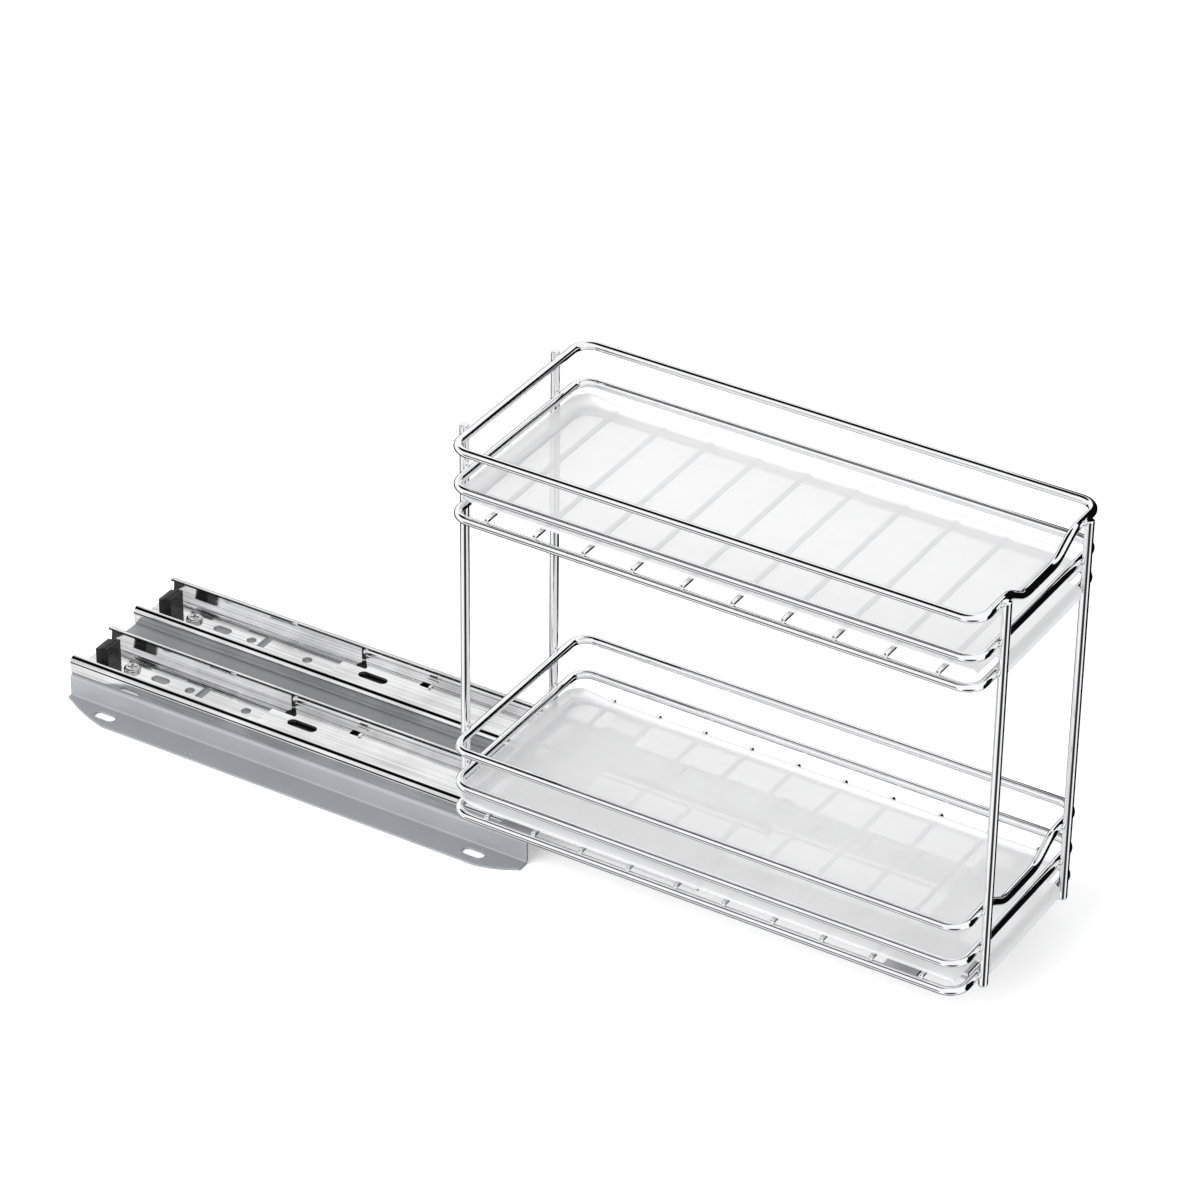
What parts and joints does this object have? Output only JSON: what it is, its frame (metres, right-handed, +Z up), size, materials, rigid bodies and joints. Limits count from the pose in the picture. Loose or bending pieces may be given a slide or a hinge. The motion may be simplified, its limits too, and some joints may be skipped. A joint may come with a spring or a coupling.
{
  "type": "pull-out spice rack",
  "caption": "Slim wire rack with tiered shelves and plastic liners that pulls out of a cabinet on full-extension ball-bearing slides.",
  "frame": {"origin": "centre of the cabinet screw slots, on the underside of the bracket's flanges", "axes": "+X is the way the rack pulls out, +Y runs across it, +Z is up"},
  "size_m": [0.4766, 0.112, 0.2134],
  "materials": {
    "chrome_wire": "bright chrome-plated wire",
    "slide_steel": "bright zinc-plated sheet, lengthwise sheen",
    "bracket_steel": "satin zinc-plated sheet",
    "screw_steel": "bright zinc-plated screws",
    "ball_steel": "polished hardened steel",
    "black_plastic": "moulded black plastic",
    "frosted_liner": "translucent frosted sheet"
  },
  "bodies": {
    "base": {"base_bracket": "bracket_steel", "outer_member_near": "slide_steel", "outer_member_far": "slide_steel", "outer_member_screws": "screw_steel", "bumper_near": "black_plastic", "bumper_far": "black_plastic"},
    "rack": {"inner_member_near": "slide_steel", "inner_member_far": "slide_steel", "cross_plate_rear": "slide_steel", "cross_plate_front": "slide_steel", "plate_screws": "screw_steel", "lower_bottom_loop": "chrome_wire", "lower_mid_loop": "chrome_wire", "lower_top_loop": "chrome_wire", "upper_bottom_loop": "chrome_wire", "upper_mid_loop": "chrome_wire", "upper_top_loop": "chrome_wire", "post_front_near": "chrome_wire", "post_front_far": "chrome_wire", "post_rear_near": "chrome_wire", "post_rear_far": "chrome_wire", "lower_rung_01": "chrome_wire", "lower_rung_02": "chrome_wire", "lower_rung_03": "chrome_wire", "lower_rung_04": "chrome_wire", "lower_rung_05": "chrome_wire", "lower_rung_06": "chrome_wire", "lower_rung_07": "chrome_wire", "lower_rung_08": "chrome_wire", "lower_rung_09": "chrome_wire", "lower_rung_10": "chrome_wire", "upper_rung_01": "chrome_wire", "upper_rung_02": "chrome_wire", "upper_rung_03": "chrome_wire", "upper_rung_04": "chrome_wire", "upper_rung_05": "chrome_wire", "upper_rung_06": "chrome_wire", "upper_rung_07": "chrome_wire", "upper_rung_08": "chrome_wire", "upper_rung_09": "chrome_wire", "upper_rung_10": "chrome_wire", "lower_liner": "frosted_liner", "upper_liner": "frosted_liner"},
    "middle_near": {"middle_member_near": "slide_steel"},
    "outer_cage_near": {"outer_cage_near": "black_plastic", "outer_balls_near": "ball_steel"},
    "inner_cage_near": {"inner_cage_near": "black_plastic", "inner_balls_near": "ball_steel"},
    "middle_far": {"middle_member_far": "slide_steel"},
    "outer_cage_far": {"outer_cage_far": "black_plastic", "outer_balls_far": "ball_steel"},
    "inner_cage_far": {"inner_cage_far": "black_plastic", "inner_balls_far": "ball_steel"}
  },
  "joints": [
    {"name": "rack_slide", "type": "slide", "parent": "base", "child": "rack", "axis": [1, 0, 0], "range_m": [-0.202, 0]},
    {"name": "middle_near_slide", "type": "slide", "parent": "base", "child": "middle_near", "axis": [1, 0, 0], "range_m": [-0.08485, 0]},
    {"name": "outer_cage_near_slide", "type": "slide", "parent": "base", "child": "outer_cage_near", "axis": [1, 0, 0], "range_m": [-0.04245, 0]},
    {"name": "inner_cage_near_slide", "type": "slide", "parent": "middle_near", "child": "inner_cage_near", "axis": [1, 0, 0], "range_m": [-0.05865, 0]},
    {"name": "middle_far_slide", "type": "slide", "parent": "base", "child": "middle_far", "axis": [1, 0, 0], "range_m": [-0.09035, 0]},
    {"name": "outer_cage_far_slide", "type": "slide", "parent": "base", "child": "outer_cage_far", "axis": [1, 0, 0], "range_m": [-0.0452, 0]},
    {"name": "inner_cage_far_slide", "type": "slide", "parent": "middle_far", "child": "inner_cage_far", "axis": [1, 0, 0], "range_m": [-0.0559, 0]}
  ],
  "couplings": [
    {"joint": "middle_near_slide", "follows": "rack_slide", "ratio": 0.4198},
    {"joint": "outer_cage_near_slide", "follows": "rack_slide", "ratio": 0.2099},
    {"joint": "inner_cage_near_slide", "follows": "rack_slide", "ratio": 0.2901},
    {"joint": "middle_far_slide", "follows": "rack_slide", "ratio": 0.44703},
    {"joint": "outer_cage_far_slide", "follows": "rack_slide", "ratio": 0.22351},
    {"joint": "inner_cage_far_slide", "follows": "rack_slide", "ratio": 0.27648}
  ]
}
